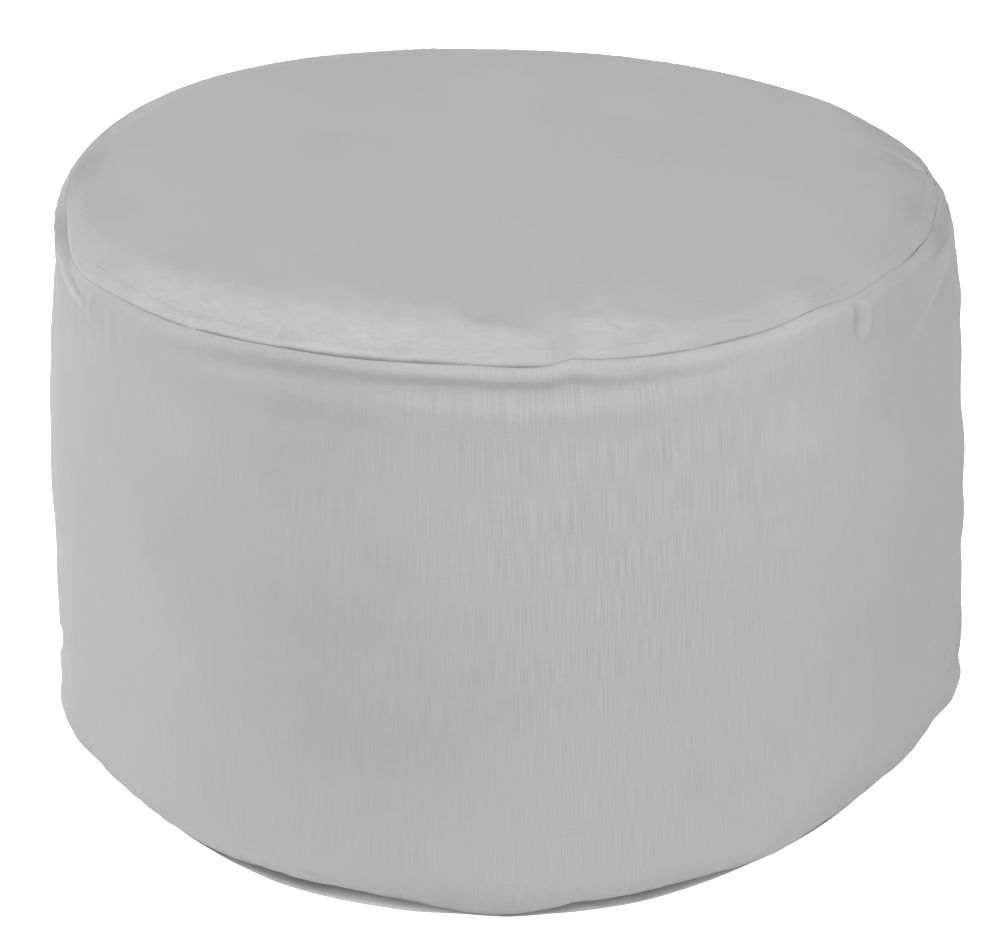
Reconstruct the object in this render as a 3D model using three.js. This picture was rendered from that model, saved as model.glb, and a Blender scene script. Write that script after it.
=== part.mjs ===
// A round outdoor bean bag: a drum of woven cloth filled with loose beads, standing on its base.
// The filled body carries the side band as its outside. A round top panel is sewn to the band along
// the top seam, and a round base panel along the bottom seam. Millimetres, +Z up, front towards -Y.
import * as THREE from "three";

// Driving dimensions.
const SEAM_RADIUS = 272; // of the top seam, where the top panel meets the side band
const SEAM_HEIGHT = 346; // of the top seam above the surface the bag stands on
const CROWN_RISE = 14; // of the middle of the top panel above its seam
const BASE_RADIUS = 284; // of the bottom seam, where the base panel meets the side band
const REST_RADIUS = 245; // of the part of the base that always lies flat
const CLOTH = 2; // thickness of a panel
const GAP = 0.3; // clear space between neighbouring pieces
const SIDES = 96; // facets once round the bag

// The side band between its two seams, before the filling presses it out of round: rounded under at
// the foot, where the filling spreads, drawn in above it, and rolled in over the shoulder.
const BAND_PROFILE = [
  { height: 6, radius: 289 },
  { height: 14, radius: 296.5 },
  { height: 30, radius: 304.5 },
  { height: 57, radius: 303.5 },
  { height: 103, radius: 297 },
  { height: 154, radius: 294 },
  { height: 206, radius: 293.5 },
  { height: 252, radius: 289.5 },
  { height: 288, radius: 284.5 },
  { height: 312, radius: 281.5 },
  { height: 322, radius: 280.5 },
  { height: 331, radius: 279.3 },
  { height: 338, radius: 277.2 },
  { height: 343, radius: 274.8 },
];

// Radii of the rings that shape the top panel, from its edge inwards.
const TOP_RINGS = [0.985, 0.96, 0.925, 0.88, 0.8, 0.62, 0.36].map((share) => share * SEAM_RADIUS);

// The crown is part broad dome and part quick roll at the rim.
const CROWN = [
  { share: 0.4, power: 2 },
  { share: 0.6, power: 9 },
];

// How the loose filling pushes each line out of true, as waves once or more round the bag.
const SEAM_HEIGHT_WAVES = [
  { turns: 1, cosine: -1.4, sine: -0.7 },
  { turns: 2, cosine: -0.5, sine: -5.1 },
  { turns: 3, cosine: 1.4, sine: 1 },
  { turns: 4, cosine: -0.5, sine: -2 },
];
const SEAM_RADIUS_WAVES = [
  { turns: 2, cosine: -0.7, sine: -2 },
  { turns: 3, cosine: 0.4, sine: 0.9 },
  { turns: 4, cosine: -0.8, sine: -0.2 },
];
const BAND_RADIUS_WAVES = [
  { turns: 1, cosine: 2, sine: -1.2 },
  { turns: 2, cosine: -1.2, sine: 3.5 },
  { turns: 3, cosine: 0.4, sine: 2.9 },
];

// Soft puffs of the top panel just inside its seam. Angles run from +X towards +Y, so -90 is the front.
const RIM_PUFFS = [
  { angle: -150, spread: 9, rise: 1.6 },
  { angle: -131, spread: 8, rise: 2.2 },
  { angle: -113, spread: 8, rise: 2.4 },
  { angle: -96, spread: 7, rise: 2 },
  { angle: -80, spread: 5, rise: 2.4 },
  { angle: -57, spread: 6, rise: 1.4 },
  { angle: -12, spread: 9, rise: 1.2 },
  { angle: 40, spread: 11, rise: 1.6 },
  { angle: 82, spread: 12, rise: 1.3 },
  { angle: 128, spread: 10, rise: 1.7 },
];

// Short stretches where the top seam is drawn down or up.
const SEAM_PULLS = [
  { angle: -158, spread: 8, lift: -3.5 },
  { angle: -88, spread: 5, lift: -1.2 },
  { angle: -79, spread: 4, lift: 1.4 },
];

// Stretches where the bottom edge arches clear of the surface.
const EDGE_ARCHES = [
  { angle: -112, spread: 9, lift: 6 },
  { angle: -72, spread: 8, lift: 5 },
  { angle: 38, spread: 10, lift: 4 },
  { angle: 118, spread: 12, lift: 5 },
];

// Drag folds of the side band, drawn from the seams by the weight of the filling.
const BAND_FOLDS = [
  { angle: -100, height: 333, spread: 20, width: 7, push: -2.6 },
  { angle: -96, height: 314, spread: 16, width: 9, push: 1.6 },
  { angle: -168, height: 313, spread: 4, width: 16, push: 2 },
  { angle: -38, height: 324, spread: 3.5, width: 16, push: -1.8 },
  { angle: -8, height: 40, spread: 5, width: 14, push: -2.4 },
  { angle: 62, height: 326, spread: 12, width: 8, push: -1.8 },
];

// Between which heights or radii each of these comes in or dies away.
const SEAM_WAVES_COME_IN = [0.5 * SEAM_HEIGHT, SEAM_HEIGHT];
const SEAM_PULLS_COME_IN = [240, SEAM_HEIGHT - CLOTH];
const BAND_FOLDS_COME_IN = [SEAM_RADIUS, SEAM_RADIUS + 4];
const PUFFS_COME_IN = [200, 240];
const PUFFS_DIE_AWAY = [246, SEAM_RADIUS];
const ARCHES_DIE_AWAY = [3, 45];

// How fast the seam's own waves and pulls fade towards the middle of the top.
const WAVE_POWER = 2;
const PULL_POWER = 6;

// Light grey, matt woven polyester; each panel is cut the other way of the weave, so its tone differs.
const CLOTH_ROUGHNESS = 0.88;
const BAND_GREY = 0xb4b4b3;
const TOP_GREY = 0xb6b6b5;
const BASE_GREY = 0xb0b0af;

const clamp01 = (value) => Math.min(1, Math.max(0, value));

/** A smooth step from 0 at low to 1 at high. */
function ease(value, low, high) {
  const share = clamp01((value - low) / (high - low));
  return share * share * (3 - 2 * share);
}

/** The shorter way round from one angle to another, in degrees. */
function turn(angle, from) {
  return ((((angle - from + 180) % 360) + 360) % 360) - 180;
}

/** A bell of height 1 over zero, falling away by the given spread. */
const bell = (distance, spread) => Math.exp(-((distance / spread) ** 2));

/** The sum of waves round the bag at an angle in degrees. */
function waves(table, angle) {
  const radians = THREE.MathUtils.degToRad(angle);
  return table.reduce(
    (sum, { turns, cosine, sine }) =>
      sum + cosine * Math.cos(turns * radians) + sine * Math.sin(turns * radians),
    0,
  );
}

/** The crown's rise at a radius, 0 at the seam. */
function crown(radius) {
  const share = Math.min(1, radius / SEAM_RADIUS);
  return CROWN.reduce((sum, part) => sum + CROWN_RISE * part.share * (1 - share ** part.power), 0);
}

/** How far the filling moves a point outwards: the seam's own waves at the top, the band's below. */
function outward(radius, height, angle) {
  const top = ease(height, ...SEAM_WAVES_COME_IN);
  const wave = (1 - top) * waves(BAND_RADIUS_WAVES, angle) + top * waves(SEAM_RADIUS_WAVES, angle);
  const folds = BAND_FOLDS.reduce(
    (sum, fold) =>
      sum + fold.push * bell(turn(angle, fold.angle), fold.spread) * bell(height - fold.height, fold.width),
    0,
  );
  return (radius / SEAM_RADIUS) * wave + ease(radius, ...BAND_FOLDS_COME_IN) * folds;
}

/** The sum, at an angle, of the bells in a table of short stretches round the bag. */
const stretches = (table, key, angle) =>
  table.reduce((sum, row) => sum + row[key] * bell(turn(angle, row.angle), row.spread), 0);

/** How far the filling moves a point upwards: the seam's waves, the rim's puffs and the edge's arches. */
function upward(radius, height, angle) {
  const share = Math.min(1, radius / SEAM_RADIUS);
  const rising = clamp01(height / SEAM_HEIGHT);
  const waved = rising * share ** WAVE_POWER * waves(SEAM_HEIGHT_WAVES, angle);
  const pulled = ease(height, ...SEAM_PULLS_COME_IN) * share ** PULL_POWER;
  const rim = rising * ease(radius, ...PUFFS_COME_IN) * (1 - ease(radius, ...PUFFS_DIE_AWAY));
  const foot = ease(radius, REST_RADIUS, BASE_RADIUS) * (1 - ease(height, ...ARCHES_DIE_AWAY));
  return (
    waved +
    pulled * stretches(SEAM_PULLS, "lift", angle) +
    rim * stretches(RIM_PUFFS, "rise", angle) +
    foot * stretches(EDGE_ARCHES, "lift", angle)
  );
}

/** Triangles of a turned profile, each four-sided facet split the same way round whichever side it is
 * seen from, so that two layers of cloth facing each other have matching facets. */
function matchingFacets(profile) {
  const rows = profile.length;
  const facets = [];
  for (let side = 0; side < SIDES; side += 1) {
    for (let row = 0; row < rows - 1; row += 1) {
      const [a, b] = [side * rows + row, (side + 1) * rows + row];
      const [c, d] = [b + 1, a + 1];
      const outwards = profile[row + 1].radius > profile[row].radius;
      facets.push(...(outwards ? [a, b, c, a, c, d] : [a, b, d, c, d, b]));
    }
  }
  return facets;
}

/** A closed piece: its profile turned round the axis, then pressed out of true by the filling. */
function pressedLathe(profile) {
  const geometry = new THREE.LatheGeometry(
    profile.map(({ radius, height }) => new THREE.Vector2(radius, height)),
    SIDES,
  );
  geometry.setIndex(matchingFacets(profile));
  geometry.rotateX(Math.PI / 2);
  const places = geometry.getAttribute("position");
  for (let i = 0; i < places.count; i += 1) {
    const [x, y, height] = [places.getX(i), places.getY(i), places.getZ(i)];
    const radius = Math.hypot(x, y);
    if (radius > 0) {
      const angle = THREE.MathUtils.radToDeg(Math.atan2(y, x));
      const grown = 1 + outward(radius, height, angle) / radius;
      places.setXYZ(i, x * grown, y * grown, height + upward(radius, height, angle));
    }
  }
  geometry.computeVertexNormals();
  return geometry;
}

/** The rings of a layer of the top, from the edge to the middle, a little way under the crown. */
function topLayer(edgeRadius, below) {
  return [edgeRadius, ...TOP_RINGS, 0].map((radius) => ({
    radius,
    height: SEAM_HEIGHT + crown(radius) - below,
  }));
}

/** The rings of a layer of the base, from the middle to the edge. */
function baseLayer(edgeRadius, height) {
  return [0, REST_RADIUS, (REST_RADIUS + edgeRadius) / 2, edgeRadius].map((radius) => ({ radius, height }));
}

/** The filled body: flat under, band outside, and a shallow seat on top that the top panel lies in. */
function filledBodyProfile() {
  const under = CLOTH + GAP;
  const lip = { radius: SEAM_RADIUS + GAP, height: SEAM_HEIGHT - GAP };
  return [...baseLayer(BASE_RADIUS, under), ...BAND_PROFILE, lip, ...topLayer(SEAM_RADIUS, CLOTH + GAP)];
}

/** The top panel: one thickness of cloth over the crown. */
function topPanelProfile() {
  const edge = SEAM_RADIUS - 2 * GAP;
  return [...topLayer(edge, CLOTH).reverse(), ...topLayer(edge, 0)];
}

/** The base panel: one thickness of cloth, flat where the bag rests. */
function basePanelProfile() {
  return [...baseLayer(BASE_RADIUS, 0), ...baseLayer(BASE_RADIUS, CLOTH).reverse()];
}

/** One named piece of the cloth. */
function piece(name, profile, color) {
  const cloth = new THREE.MeshStandardMaterial({ color, roughness: CLOTH_ROUGHNESS, metalness: 0 });
  const mesh = new THREE.Mesh(pressedLathe(profile), cloth);
  mesh.name = name;
  return mesh;
}

const bag = new THREE.Group();
bag.add(
  piece("filled_body", filledBodyProfile(), BAND_GREY),
  piece("top_panel", topPanelProfile(), TOP_GREY),
  piece("base_panel", basePanelProfile(), BASE_GREY),
);

// The origin is under the middle of the bag, on the surface it stands on.
const reach = new THREE.Box3().setFromObject(bag);
const middle = reach.getCenter(new THREE.Vector3());
bag.position.set(-middle.x, -middle.y, -reach.min.z);
bag.updateMatrixWorld(true);

export default bag;
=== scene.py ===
"""A round outdoor bean bag, standing on its base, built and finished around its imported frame.

The bag is a drum of woven polyester filled with loose beads. One length of cloth makes its side band,
and a round panel is sewn to the band along the top seam and another along the bottom seam. Lengths in
the tables are millimetres, angles are degrees from +X towards +Y, and the front faces -Y. Meshes are
made in metres, in the frame's own place.
"""
import logging
import math
from dataclasses import dataclass
from enum import Enum

import bpy
import numpy as np
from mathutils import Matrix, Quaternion, Vector


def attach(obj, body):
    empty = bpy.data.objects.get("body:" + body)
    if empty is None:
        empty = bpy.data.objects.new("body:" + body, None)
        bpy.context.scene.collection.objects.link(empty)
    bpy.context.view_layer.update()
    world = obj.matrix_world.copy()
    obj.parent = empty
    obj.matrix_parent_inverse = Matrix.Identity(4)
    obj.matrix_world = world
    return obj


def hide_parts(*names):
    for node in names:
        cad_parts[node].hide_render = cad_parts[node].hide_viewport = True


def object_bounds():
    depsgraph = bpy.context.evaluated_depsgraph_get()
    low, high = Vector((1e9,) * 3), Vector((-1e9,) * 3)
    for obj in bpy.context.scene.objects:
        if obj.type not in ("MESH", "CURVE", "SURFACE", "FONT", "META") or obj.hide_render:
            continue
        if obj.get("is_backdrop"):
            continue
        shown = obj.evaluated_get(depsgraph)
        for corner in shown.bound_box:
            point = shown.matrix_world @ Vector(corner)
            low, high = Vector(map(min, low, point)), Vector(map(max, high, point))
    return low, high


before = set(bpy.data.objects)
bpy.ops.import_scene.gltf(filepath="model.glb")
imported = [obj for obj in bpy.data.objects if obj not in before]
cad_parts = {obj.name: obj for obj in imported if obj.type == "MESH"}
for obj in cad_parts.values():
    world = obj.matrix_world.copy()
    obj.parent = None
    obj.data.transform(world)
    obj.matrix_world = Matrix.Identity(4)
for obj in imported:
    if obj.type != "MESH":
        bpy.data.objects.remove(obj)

Array = np.ndarray
Row = tuple[float, ...]
Socket = bpy.types.NodeSocket
Number = float | Socket
Inputs = dict[int | str, float | Row | Socket]

MM = 0.001
# How many short stretches a line is measured in when rings or columns are spaced along it.
FINE_STRETCHES = 4000

log = logging.getLogger("bean_bag")


# --- Whole-array helpers ---


def ease(value: Array, low: float, high: float) -> Array:
    """A smooth step: 0 up to low, 1 from high, and 3t^2 - 2t^3 between them.

    Args:
        value: Where to take the step.
        low: Where the step starts.
        high: Where the step ends.

    Returns:
        The step at each value.
    """
    share = np.clip((value - low) / (high - low), 0.0, 1.0)
    return share * share * (3.0 - 2.0 * share)


def turn(angle: Array, start: float) -> Array:
    """The shorter way round from start to each angle, in degrees."""
    return (angle - start + 180.0) % 360.0 - 180.0


def bell(distance: Array, spread: float) -> Array:
    """A bell of height 1 over zero: e to the power of -(distance / spread)^2."""
    return np.exp(-((distance / spread) ** 2))


def spline(knots: Array, values: Array, at: Array) -> Array:
    """A natural cubic spline through (knots, values).

    The second derivatives m solve the usual three-banded system with m = 0 at both ends, and each
    stretch is the cubic that has those second derivatives and meets the values at its two knots.

    Args:
        knots: Rising places, one for each value.
        values: What the line passes through.
        at: Where to read the line.

    Returns:
        The line's value at each place.
    """
    step = np.diff(knots)
    slope = np.diff(values) / step
    bend = np.diag(np.r_[1.0, 2.0 * (step[:-1] + step[1:]), 1.0])
    inner = np.arange(1, len(knots) - 1)
    bend[inner, inner - 1] = step[:-1]
    bend[inner, inner + 1] = step[1:]
    curve = np.linalg.solve(bend, np.r_[0.0, 6.0 * np.diff(slope), 0.0])
    index = np.clip(np.searchsorted(knots, at) - 1, 0, len(step) - 1)
    before, after, width = at - knots[index], knots[index + 1] - at, step[index]
    return (
        curve[index] * after**3 / (6.0 * width)
        + curve[index + 1] * before**3 / (6.0 * width)
        + (values[index] / width - curve[index] * width / 6.0) * after
        + (values[index + 1] / width - curve[index + 1] * width / 6.0) * before
    )


def round_line(angles: Row, values: Row, at: Array) -> Array:
    """A smooth closed line round the bag, eased as 3t^2 - 2t^3 from each value to the next.

    Args:
        angles: Rising angles of the values, within one turn.
        values: The value at each angle.
        at: The angles to read it at.

    Returns:
        The line's value at each.
    """
    place = angles[0] + (at - angles[0]) % 360.0
    knots = np.array([*angles, angles[0] + 360.0], float)
    ends = np.array([*values, values[0]], float)
    index = np.clip(np.searchsorted(knots, place, side="right") - 1, 0, len(angles) - 1)
    share = ease((place - knots[index]) / (knots[index + 1] - knots[index]), 0.0, 1.0)
    return ends[index] * (1.0 - share) + ends[index + 1] * share


def spaced(length: float, places: Row, steps: Row) -> Array:
    """Places from 0 to length whose spacing follows a line through (places, steps).

    They are where the running sum of 1 / spacing passes equal shares of its total.

    Args:
        length: Where the places end.
        places: Where each spacing holds.
        steps: The spacing wanted at each.

    Returns:
        The rising places, both ends among them.
    """
    fine = np.linspace(0.0, length, FINE_STRETCHES)
    count = np.concatenate([[0.0], np.cumsum(np.diff(fine) / np.interp(fine[1:], places, steps))])
    return np.interp(np.linspace(0.0, count[-1], int(round(count[-1])) + 1), count, fine)


# --- Shape of the bag ---


@dataclass(frozen=True)
class Wave:
    """A whole number of waves round the bag, in millimetres."""

    turns: int
    cosine: float
    sine: float


@dataclass(frozen=True)
class Stretch:
    """A bell-shaped stretch round the bag: its angle and spread in degrees and its size."""

    angle: float
    spread: float
    size: float


@dataclass(frozen=True)
class Patch:
    """A soft round patch: light painted into the cloth's colour, or how many millimetres it swells.

    Angle and spread are degrees. Place is millimetres inwards from the seam on the top panel and up
    from the floor on the side band, and width is how far the patch reaches that way. A size below 0
    paints shade.
    """

    angle: float
    place: float
    spread: float
    width: float
    size: float


@dataclass(frozen=True)
class Pinch:
    """A short crease that runs inwards from the top seam: degrees for angle, spread and lean."""

    angle: float
    spread: float
    length: float
    depth: float
    lean: float = 0.0


@dataclass(frozen=True)
class Ripples:
    """Small uneven waves: a sum of cosines whose directions and phases are drawn with a seed.

    Each cosine has a whole number of turns round the bag and a number of waves for each millimetre
    across it, and together they have a root mean square of 1.
    """

    seed: int
    turns: tuple[int, int]
    across: tuple[float, float]
    count: int = 24

    def at(self, angle: Array, distance: Array) -> Array:
        """The ripples' height.

        Args:
            angle: Angles round the bag.
            distance: Distances across the cloth.

        Returns:
            The height at each.
        """
        draw = np.random.default_rng(self.seed)
        turns = draw.integers(self.turns[0], self.turns[1] + 1, self.count)
        across = draw.uniform(*self.across, self.count) * draw.choice([-1.0, 1.0], self.count)
        phase = draw.uniform(0.0, 2.0 * math.pi, self.count)
        total = np.zeros(np.broadcast(angle, distance).shape)
        for turned, crossed, start in zip(turns, across, phase):
            total += np.cos(np.radians(turned * angle) + 2.0 * math.pi * crossed * distance + start)
        return total * math.sqrt(2.0 / self.count)


def patches(table: tuple[Patch, ...], place: Array, angle: Array) -> Array:
    """The sum of the table's patches: size times a bell round the bag and a bell across it."""
    return sum(
        row.size * bell(turn(angle, row.angle), row.spread) * bell(place - row.place, row.width)
        for row in table
    )


def rows(kind: type, *values: Row) -> tuple:
    """A table of things of one kind, one for each row of values."""
    return tuple(kind(*row) for row in values)


def waves(table: tuple[Wave, ...], angle: Array) -> Array:
    """The sum of the table's waves: cosine * cos(turns * angle) + sine * sin(turns * angle)."""
    radians = np.radians(angle)
    return sum(w.cosine * np.cos(w.turns * radians) + w.sine * np.sin(w.turns * radians) for w in table)


def stretches(table: tuple[Stretch, ...], angle: Array) -> Array:
    """The sum of the table's bells round the bag."""
    return sum(row.size * bell(turn(angle, row.angle), row.spread) for row in table)


@dataclass(frozen=True)
class BagForm:
    """The bag's sizes and how its loose filling presses it out of round, as its frame has them."""

    seam_radius: float = 272.0
    seam_height: float = 346.0
    base_radius: float = 284.0
    rest_radius: float = 245.0
    cloth: float = 2.0
    gap: float = 0.3
    seam_height_waves: tuple[Wave, ...] = rows(
        Wave,
        (1, -1.4, -0.7), (2, -0.5, -5.1), (3, 1.4, 1), (4, -0.5, -2),
    )
    seam_radius_waves: tuple[Wave, ...] = (Wave(2, -0.7, -2.0), Wave(3, 0.4, 0.9), Wave(4, -0.8, -0.2))
    band_radius_waves: tuple[Wave, ...] = (Wave(1, 2.0, -1.2), Wave(2, -1.2, 3.5), Wave(3, 0.4, 2.9))
    seam_pulls: tuple[Stretch, ...] = rows(
        Stretch,
        (-158, 8, -3.5), (-88, 5, -1.2), (-79, 4, 1.2), (-82.4, 2, 2.4), (-142, 7, 1.6), (-120, 28, 1.4),
        (-96, 8, 0.8), (-51.5, 4.5, 2.6), (-38.5, 4.2, 1.6), (2, 4.5, -3), (14, 6, -1),
    )
    # The pulls fade out down to this height, and towards the axis as this power of the radius.
    pulls_from: float = 240.0
    pull_power: int = 6
    # Where the seam lies further in than the band's shoulder, and the height the draw starts at.
    seam_draws: tuple[Stretch, ...] = (Stretch(-172, 8, -2.6), Stretch(-14, 9, -3.2), Stretch(4, 8, -0.8))
    draws_from: float = 339.0
    edge_arches: tuple[Stretch, ...] = rows(
        Stretch,
        (-120, 5.4, 6.1), (-110, 7, 8.5), (-102, 5, 6.6), (-96, 5, 0.8), (-82.5, 5, 5.4),
        (-74.5, 5.2, 3.9), (-67, 6.5, 4.2), (38, 10, 4), (118, 12, 5),
    )
    # The heights between which the arches fade out.
    arch_heights: Row = (3.0, 45.0)

    def upward(self, radius: Array, height: Array, angle: Array) -> Array:
        """How far the filling lifts a place: the seam's waves and pulls, and the foot's arches.

        Args:
            radius: Distance from the axis before pressing.
            height: Height above the floor before pressing.
            angle: Angle round the bag.

        Returns:
            How far each is lifted.
        """
        share = np.minimum(1.0, radius / self.seam_radius)
        rising = np.clip(height / self.seam_height, 0.0, 1.0)
        pulled = ease(height, self.pulls_from, self.seam_height - self.cloth) * share**self.pull_power
        foot = ease(radius, self.rest_radius, self.base_radius) * (1.0 - ease(height, *self.arch_heights))
        return (
            rising * share**2 * waves(self.seam_height_waves, angle)
            + pulled * stretches(self.seam_pulls, angle)
            + foot * stretches(self.edge_arches, angle)
        )

    def press(self, radius: Array, height: Array, angle: Array, lifted: bool = True) -> Array:
        """Places about the bag's own axis, after the filling has pressed them.

        x = (radius + outward) cos(angle), y = (radius + outward) sin(angle), z = height + upward.
        Outward is in proportion to the radius. The band's waves ease into the seam's over the upper
        half, and the seam's draws are added close under it.

        Args:
            radius: Distance from the axis before pressing.
            height: Height above the floor before pressing.
            angle: Angle round the bag.
            lifted: Whether the places move upwards too.

        Returns:
            The places, with x, y and z along the last axis.
        """
        radius, height, angle = np.broadcast_arrays(radius, height, angle)
        top = ease(height, 0.5 * self.seam_height, self.seam_height)
        band, seam = waves(self.band_radius_waves, angle), waves(self.seam_radius_waves, angle)
        drawn = ease(height, self.draws_from, self.seam_height) * stretches(self.seam_draws, angle)
        reach = radius + radius / self.seam_radius * ((1.0 - top) * band + top * seam + drawn)
        rise = height + self.upward(radius, height, angle) if lifted else height
        radians = np.radians(angle)
        return np.stack([reach * np.cos(radians), reach * np.sin(radians), rise], axis=-1)


@dataclass(frozen=True)
class DragFold:
    """A ridge, or a trough where push is negative, along a straight line on the unrolled band.

    The ends are degrees round the bag and millimetres up it, and width and push are millimetres.
    """

    from_angle: float
    from_height: float
    to_angle: float
    to_height: float
    width: float
    push: float
    # Where the fold fades out, as shares of the way from its middle to its ends.
    ends: Row = (0.35, 1.25)

    def at(self, angle: Array, height: Array, radius: float) -> Array:
        """The fold's push: a bell across its line, full along the middle and gone past both ends.

        Args:
            angle: Angles round the bag.
            height: Heights up the band.
            radius: The radius that the band is unrolled at.

        Returns:
            The push at each.
        """
        girth = math.radians(radius)
        along = (turn(self.to_angle, self.from_angle) * girth, self.to_height - self.from_height)
        length = float(np.hypot(*along))
        beside = turn(angle, self.from_angle) * girth
        above = height - self.from_height
        share = (beside * along[0] + above * along[1]) / length**2
        across = (beside * along[1] - above * along[0]) / length
        return self.push * bell(across, self.width) * (1.0 - ease(np.abs(2.0 * share - 1.0), *self.ends))


@dataclass(frozen=True)
class TopShape:
    """The top panel's crown: a broad dome, a rim that slopes to the seam, and the cloth's own folds."""

    form: BagForm = BagForm()
    crown_rise: float = 15.5
    crown_power: float = 4.0
    rim_bend: float = 8.0
    rim_share: float = 0.62
    # How the rim's width is evened out: degrees aside, and the share of the width there.
    rim_evening: tuple[Row, ...] = ((-6.0, 1 / 9), (-3.0, 2 / 9), (0.0, 3 / 9), (3.0, 2 / 9), (6.0, 1 / 9))
    # How cloudy the painted rim highlight's edge is, where it fades out in rim widths, and the most there
    # is.
    cloud_share: float = 0.17
    rim_light_ends: Row = (0.5, 1.05)
    most_rim_light: float = 1.3
    # The ridge over the seam allowance: its distance from the seam, height, groove and edges, and
    # the least share of it that is left where no light is painted onto the rim.
    allowance: float = 7.0
    allowance_rise: float = 0.6
    allowance_groove: float = 0.55
    allowance_step: float = 0.8
    allowance_start: float = 2.0
    allowance_wobble: float = 0.8
    groove_beyond: float = 0.9
    least_worked: float = 0.15
    allowance_dips: tuple[Stretch, ...] = (Stretch(-166, 9, -4.5), Stretch(-78, 5, -2.0))
    # Small puckers and crinkles, and how far in from the seam each is strongest and reaches.
    pucker_rise: float = 0.42
    pucker_place: Row = (8.0, 6.0)
    crinkle_rise: float = 0.36
    crinkle_place: Row = (14.0, 8.0)
    # The filling's slump, which fades out near the seam and near the axis.
    slump_rise: float = 0.5
    slump_edge: Row = (5.0, 60.0)
    slump_middle: Row = (10.0, 90.0)
    # Where the cloth bends over from the rim's slope, millimetres inwards from the seam, at angles.
    rim_angles: Row = (
        -172, -164, -159, -152, -146, -142, -136, -131, -126, -122, -118, -114, -110, -106, -102, -99,
        -95, -92, -89, -86, -83.5, -81, -79, -76, -74, -72, -69, -64, -54, -50, -40, -22, 0, 25, 50, 75,
        100, 125, 150, 172,
    )
    rim_widths: Row = (
        16, 20, 25, 33, 34, 40, 43, 49, 45, 50, 53, 61, 59, 54, 57, 57, 42, 34, 27, 17, 12, 36, 54, 54,
        38, 22, 16, 18, 26, 20, 28, 32, 40, 34, 48, 38, 46, 38, 44, 30,
    )
    # How high the slope is, and how much light is painted onto its cloth, at other angles.
    slope_angles: Row = (
        -172, -160, -150, -142, -120, -90, -86, -83, -80, -75, -71, -66, -58, -54, -49, -35, -18, -4, 12,
        24, 40, 54, 66, 78, 92, 104, 118, 130, 140, 155,
    )
    slope_rises: Row = (
        8.5, 11, 12.5, 12.5, 12.5, 12.5, 12, 11.5, 11.5, 11, 10, 8.5, 7, 6.5, 6, 5, 5, 6, 8, 11, 10.5,
        7.5, 5.5, 5.0, 5.8, 8.5, 8.4, 8.6, 10, 11,
    )
    # Painted highlight on the sloping rim; the same shares set how strongly the allowance ridge, puckers and
    # crinkles stand.
    painted_lightening: Row = (
        0.0, 0.1, 0.35, 0.7, 1.0, 1.0, 0.8, 0.1, 1.1, 1.0, 0.4, 0.1, 0.1, 0.5, 0.1, 0.0, 0.0, 0.1, 0.2,
        0.3, 0.3, 0.4, 0.5, 0.4, 0.4, 0.7, 0.5, 0.4, 0.3, 0.2,
    )
    # Patches of painted light, and of painted shade below 0, on the top panel's colour.
    painted_shades: tuple[Patch, ...] = rows(
        Patch,
        (174, 9, 9, 13, -2.6), (-164, 0, 12, 1, 1.5), (-168, 11, 9, 9, -0.9), (-150, 13, 6, 12, -0.8),
        (-104, 14, 5, 10, 0.8), (-107, 1, 5, 3, 0.9), (-122, 7, 5, 5, -0.9), (-74, 5, 5, 4, 0.8),
        (-71, 42, 6, 24, 0.45), (-83, 26, 3, 10, 0.5), (-92, 29, 2.5, 7, -1.1), (-168, 32, 7, 12, -0.5),
        (-52, 12, 4, 12, -0.3), (178, 140, 28, 50, -0.35), (-84.3, 7, 0.5, 4, -1.2),
        (-17, 12, 5, 8, -1.1), (1, 20, 4, 12, -0.6), (-28, 22, 10, 16, -0.2), (-95, 110, 12, 30, -0.15),
        (60, 52, 34, 24, 0.45), (80, 120, 26, 50, 0.4),
    )
    puffs: tuple[Patch, ...] = rows(
        Patch,
        (-150, 8, 5, 7, 0.7), (-138, 17, 4.5, 12, 1), (-125, 20, 4, 12, 1.1), (-111, 21, 5, 14, 0.8),
        (-98, 24, 3.6, 15, 1.2), (-79, 22, 3, 13, 2.2), (-74, 8, 2.6, 6, 0.9), (-52.5, 8, 2.4, 7, 1.2),
        (28, 20, 7, 14, 0.9), (50, 24, 6, 16, 0.6), (98, 22, 6, 14, 0.5), (140, 24, 6, 16, 0.6),
        (166, 16, 5, 11, 0.8),
    )
    pinches: tuple[Pinch, ...] = rows(
        Pinch,
        (-143.5, 1.1, 16, 0.45, 0.12), (-129, 1.2, 24, 0.9, -0.06), (-102, 1.3, 30, 0.7, 0.05),
        (-84.3, 0.6, 10, 1.2, 0.04), (-68, 1, 10, 0.5), (-18, 0.9, 18, 0.8, -0.1), (-12, 0.9, 11, 1),
        (-3, 0.9, 20, 2.2), (3, 0.9, 36, 2.5, 0.10), (7, 0.8, 26, 1.6, 0.16), (44, 1.2, 22, 1, 0.08),
        (80, 1.1, 18, 0.9, -0.1), (115, 1.2, 26, 1.1, 0.06), (151, 1.1, 20, 0.9, -0.08),
    )
    crinkles: Ripples = Ripples(seed=15, turns=(30, 130), across=(0.1, 0.19), count=40)
    puckers: Ripples = Ripples(seed=11, turns=(120, 300), across=(0.0, 0.04), count=40)
    cloud: Ripples = Ripples(seed=14, turns=(8, 60), across=(0.005, 0.04), count=24)
    slump: Ripples = Ripples(seed=12, turns=(0, 7), across=(0.001, 0.006), count=18)
    wobble: Ripples = Ripples(seed=13, turns=(4, 30), across=(0.0, 0.0), count=16)

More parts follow.
